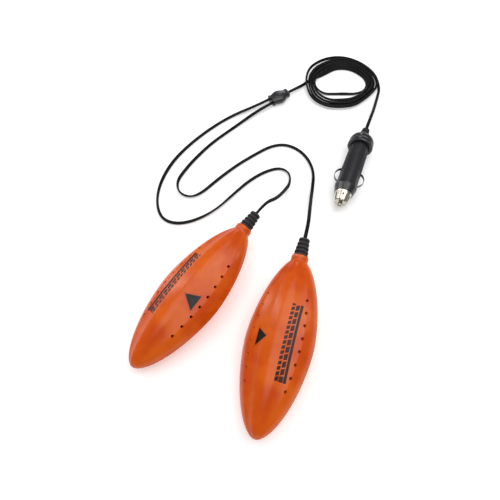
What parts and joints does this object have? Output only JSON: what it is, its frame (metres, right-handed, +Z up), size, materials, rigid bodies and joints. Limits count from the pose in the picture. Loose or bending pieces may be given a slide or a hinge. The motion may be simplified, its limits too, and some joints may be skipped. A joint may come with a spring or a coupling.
{
  "type": "boot dryer",
  "caption": "Pair of spindle-shaped electric boot dryers with vented shells, on thin leads joined by a splitter to one coiled lead and a 12 V car plug.",
  "frame": {"origin": "on the surface that it lies on, under the middle of the box round the two heaters without their leads and plug", "axes": "+Z up; +Y away from the user, from the heaters' tips towards their leads; +X to the user's right"},
  "size_m": [0.2355, 0.4057, 0.0381],
  "materials": {
    "orange_shell": "glossy moulded orange",
    "black_rubber": "satin soft PVC",
    "cord_jacket": "smooth soft PVC",
    "black_plastic": "glossy moulded black",
    "aluminium_sheet": "mill",
    "ptc_ceramic": "sintered",
    "steel": "zinc plated",
    "dark_spring_steel": "plated spring strip",
    "wire_jacket": "smooth",
    "natural_plastic": "moulded",
    "nickel_plate": "bright nickel",
    "fuse_glass": "clear",
    "brass": "plain"
  },
  "bodies": {
    "root": {"contact_sleeve": "natural_plastic", "cord_coil": "cord_jacket", "cord_left": "cord_jacket", "cord_plug": "cord_jacket", "cord_right": "cord_jacket", "cord_splitter": "cord_jacket", "ground_band": "brass", "left_bridge_screws": "steel", "left_clamp_plate": "aluminium_sheet", "left_cord_bridge": "natural_plastic", "left_heat_plate": "aluminium_sheet", "left_heater_screws": "steel", "left_lead_wires": "wire_jacket", "left_lower_shell": "orange_shell", "left_ptc_elements": "ptc_ceramic", "left_shell_screws": "steel", "left_strain_relief": "black_rubber", "left_thermal_cutout": "steel", "left_upper_shell": "orange_shell", "pin_spring": "steel", "plug_barrel": "black_plastic", "plug_cap": "black_plastic", "plug_relief": "black_rubber", "plug_wires": "wire_jacket", "rear_contact": "brass", "right_bridge_screws": "steel", "right_clamp_plate": "aluminium_sheet", "right_cord_bridge": "natural_plastic", "right_heat_plate": "aluminium_sheet", "right_heater_screws": "steel", "right_lead_wires": "wire_jacket", "right_lower_shell": "orange_shell", "right_ptc_elements": "ptc_ceramic", "right_shell_screws": "steel", "right_strain_relief": "black_rubber", "right_thermal_cutout": "steel", "right_upper_shell": "orange_shell", "splitter_crimps": "brass", "splitter_lower": "black_plastic", "splitter_upper": "black_plastic"},
    "nose_tip": {"nose_cone": "nickel_plate"},
    "nose_ring": {"nose_ring": "black_plastic"},
    "contact_pin": {"contact_pin": "nickel_plate", "fuse_caps": "nickel_plate", "fuse_glass": "fuse_glass", "fuse_wire": "brass"},
    "side_contact_left": {"side_contact_left": "dark_spring_steel"},
    "side_contact_right": {"side_contact_right": "dark_spring_steel"}
  },
  "joints": [
    {"name": "nose_advance", "type": "slide", "parent": "root", "child": "nose_tip", "axis": [-0.3646, -0.9305, -0.0359], "range_m": [0, 0.003]},
    {"name": "nose_unscrew", "type": "hinge", "parent": "nose_tip", "child": "nose_ring", "pos_m": [0.11027, 0.12978, 0.01046], "axis": [-0.3646, -0.9305, -0.0359], "range_deg": [0, 1080]},
    {"name": "pin_press", "type": "slide", "parent": "nose_tip", "child": "contact_pin", "axis": [0.3646, 0.9305, 0.0359], "range_m": [0, 0.0035], "stiffness_N_per_m": 600},
    {"name": "side_left_press", "type": "slide", "parent": "root", "child": "side_contact_left", "axis": [-0.9311, 0.3649, 0], "range_m": [0, 0.0036], "stiffness_N_per_m": 500},
    {"name": "side_right_press", "type": "slide", "parent": "root", "child": "side_contact_right", "axis": [0.9311, -0.3649, 0], "range_m": [0, 0.0036], "stiffness_N_per_m": 500}
  ],
  "couplings": [
    {"joint": "nose_unscrew", "follows": "nose_advance", "rad_per_m": 6283.2}
  ]
}
